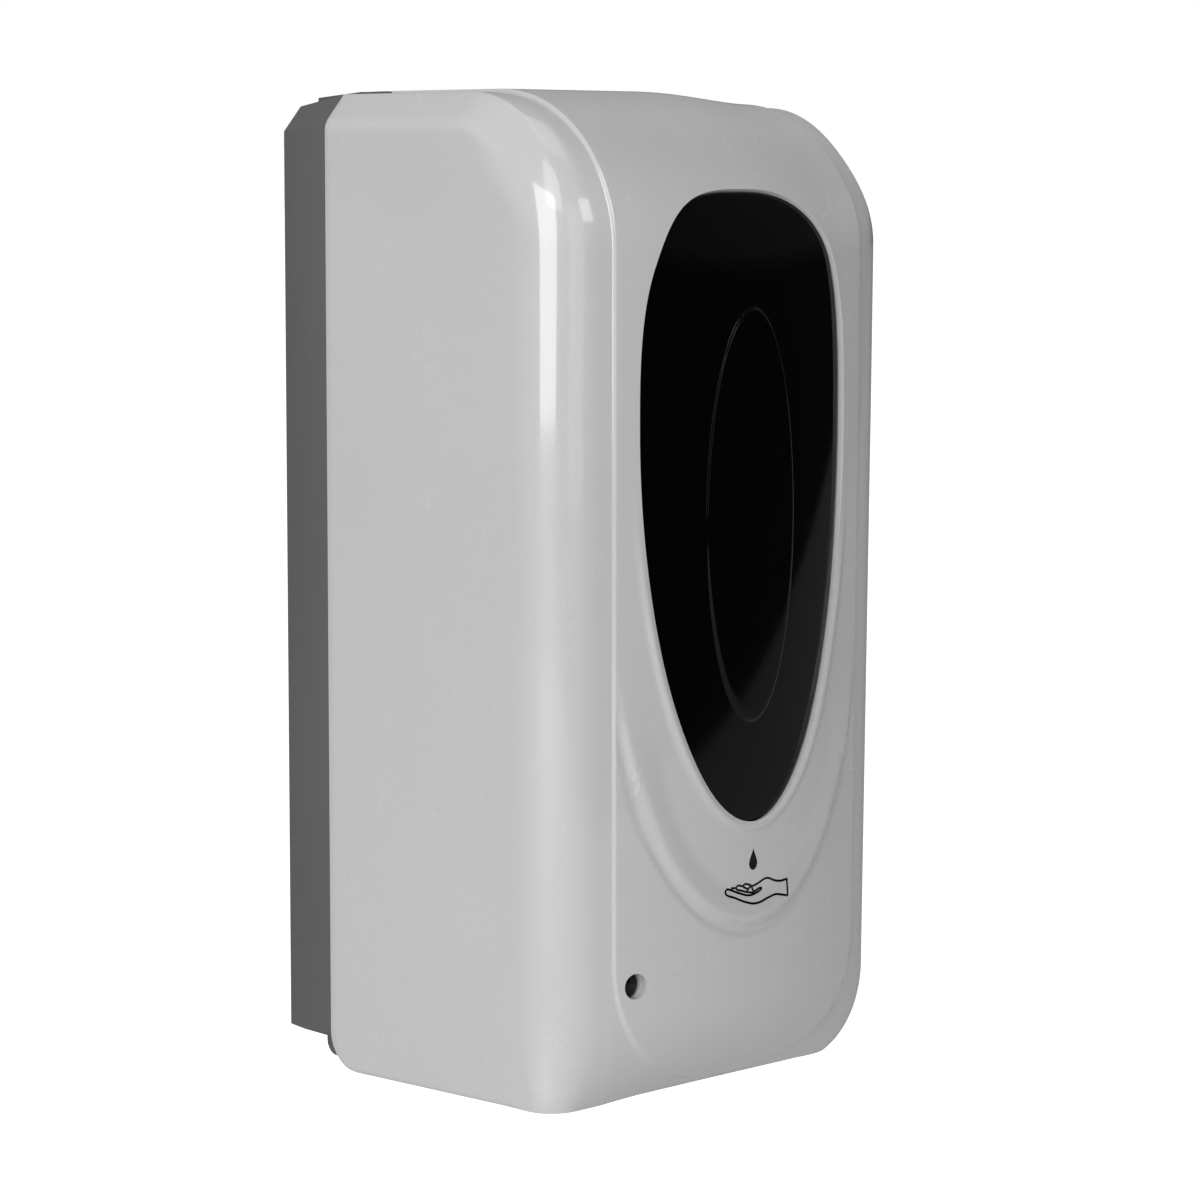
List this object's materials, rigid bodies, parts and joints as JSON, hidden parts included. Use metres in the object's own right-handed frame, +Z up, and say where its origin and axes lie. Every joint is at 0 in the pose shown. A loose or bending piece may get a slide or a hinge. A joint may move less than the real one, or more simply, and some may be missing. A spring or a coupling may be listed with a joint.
{
  "type": "wall mounted soap dispenser",
  "caption": "Touch-free wall soap dispenser: hinged cover with a smoked window, key lock, lift-out reservoir with filler lid, and a geared roller pump driven by a motor and cells.",
  "frame": {"origin": "centre of the rear face of the case, on the wall", "axes": "+Y into the wall, -Y out of it towards the user, +Z up, +X to the right as seen from the front"},
  "size_m": [0.1306, 0.1174, 0.2689],
  "materials": {
    "cover_white": "satin light grey white ABS",
    "case_grey": "fine spark texture grey ABS",
    "smoked_black": "polished smoked acrylic",
    "inner_white": "moulded white ABS",
    "clear_plastic": "clear moulded plastic",
    "silicone": "translucent silicone",
    "seal_rubber": "black seal",
    "gear_nylon": "natural acetal",
    "steel": "plated steel",
    "motor_steel": "drawn motor can",
    "lock_chrome": "polished",
    "brass": "turned",
    "board_green": "solder resist",
    "chip_black": "black moulding",
    "cell_wrap": "printed sleeve, no text",
    "led_red": "diffused lamp"
  },
  "bodies": {
    "case": {"back_case": "case_grey", "hinge_pins": "steel", "lock_barrel": "lock_chrome", "chassis": "inner_white", "chassis_screws": "steel", "shaft_bush": "brass", "idler_pin": "steel", "motor_can": "motor_steel", "motor_cap": "inner_white", "pump_housing": "inner_white", "pump_cover": "clear_plastic", "pump_screws": "steel", "pump_tube": "silicone", "inlet_spigot": "inner_white", "outlet_seal": "seal_rubber", "nozzle": "silicone", "nozzle_shroud": "case_grey", "sensor_windows": "smoked_black", "ir_emitter": "clear_plastic", "ir_receiver": "smoked_black", "control_board": "board_green", "board_chips": "chip_black", "board_screws": "steel", "battery_holder": "chip_black", "batteries": "cell_wrap", "battery_contacts": "steel", "battery_springs": "steel", "service_panel": "inner_white", "panel_screws": "steel", "switch_frame": "chip_black", "dose_switch_body": "chip_black", "indicator_led": "led_red"},
    "cover": {"front_cover": "cover_white", "cover_catch": "cover_white", "window": "smoked_black", "indicator_lens": "smoked_black"},
    "lock": {"lock_plug": "brass", "lock_cam": "steel", "cam_nut": "brass"},
    "reservoir": {"reservoir": "clear_plastic", "filler_neck": "clear_plastic", "lid_pin": "steel"},
    "lid": {"filler_lid": "case_grey", "lid_seal": "silicone"},
    "rotor": {"rotor_gear": "gear_nylon", "rotor_shaft": "steel", "roller_carrier": "gear_nylon", "roller_pins": "steel"},
    "roller_a": {"roller_a": "gear_nylon"},
    "roller_b": {"roller_b": "gear_nylon"},
    "roller_c": {"roller_c": "gear_nylon"},
    "idler": {"idler_gear": "gear_nylon"},
    "motor_rotor": {"motor_shaft": "steel", "motor_pinion": "brass"},
    "battery_door": {"battery_door": "case_grey"},
    "power_rocker": {"power_rocker": "chip_black"},
    "dose_slider": {"dose_slider": "inner_white"}
  },
  "joints": [
    {"name": "cover_hinge", "type": "hinge", "parent": "case", "child": "cover", "pos_m": [0, -0.0295, -0.1232], "axis": [1, 0, 0], "range_deg": [0, 90]},
    {"name": "lock_turn", "type": "hinge", "parent": "case", "child": "lock", "pos_m": [0, -0.014, 0.128], "axis": [0, 0, 1], "range_deg": [0, 90]},
    {"name": "reservoir_lift", "type": "slide", "parent": "case", "child": "reservoir", "axis": [0, 0, 1], "range_m": [0, 0.012]},
    {"name": "lid_flip", "type": "hinge", "parent": "reservoir", "child": "lid", "pos_m": [0, -0.05, 0.0965], "axis": [-1, 0, 0], "range_deg": [0, 90]},
    {"name": "pump_spin", "type": "hinge", "parent": "case", "child": "rotor", "pos_m": [-0.02, -0.0755, -0.0915], "axis": [0, 1, 0], "continuous": true},
    {"name": "idler_spin", "type": "hinge", "parent": "case", "child": "idler", "pos_m": [-0.0032, -0.0755, -0.0915], "axis": [0, 1, 0], "continuous": true},
    {"name": "motor_spin", "type": "hinge", "parent": "case", "child": "motor_rotor", "pos_m": [0.0136, -0.0755, -0.0915], "axis": [0, 1, 0], "continuous": true},
    {"name": "roller_a_spin", "type": "hinge", "parent": "rotor", "child": "roller_a", "pos_m": [-0.02, -0.082, -0.0846], "axis": [0, 1, 0], "continuous": true},
    {"name": "roller_b_spin", "type": "hinge", "parent": "rotor", "child": "roller_b", "pos_m": [-0.02598, -0.082, -0.09495], "axis": [0, 1, 0], "continuous": true},
    {"name": "roller_c_spin", "type": "hinge", "parent": "rotor", "child": "roller_c", "pos_m": [-0.01402, -0.082, -0.09495], "axis": [0, 1, 0], "continuous": true},
    {"name": "battery_door_slide", "type": "slide", "parent": "case", "child": "battery_door", "axis": [0, 0, 1], "range_m": [0, 0.045]},
    {"name": "power_rocker_tilt", "type": "hinge", "parent": "case", "child": "power_rocker", "pos_m": [0.03, -0.0985, -0.068], "axis": [1, 0, 0], "range_deg": [0, 20]},
    {"name": "dose_slide", "type": "slide", "parent": "case", "child": "dose_slider", "axis": [0, 0, 1], "range_m": [0, 0.006]}
  ],
  "couplings": [
    {"joint": "idler_spin", "follows": "pump_spin", "ratio": -3},
    {"joint": "motor_spin", "follows": "pump_spin", "ratio": 9},
    {"joint": "roller_a_spin", "follows": "pump_spin", "ratio": -3.0294},
    {"joint": "roller_b_spin", "follows": "pump_spin", "ratio": -3.0294},
    {"joint": "roller_c_spin", "follows": "pump_spin", "ratio": -3.0294}
  ]
}
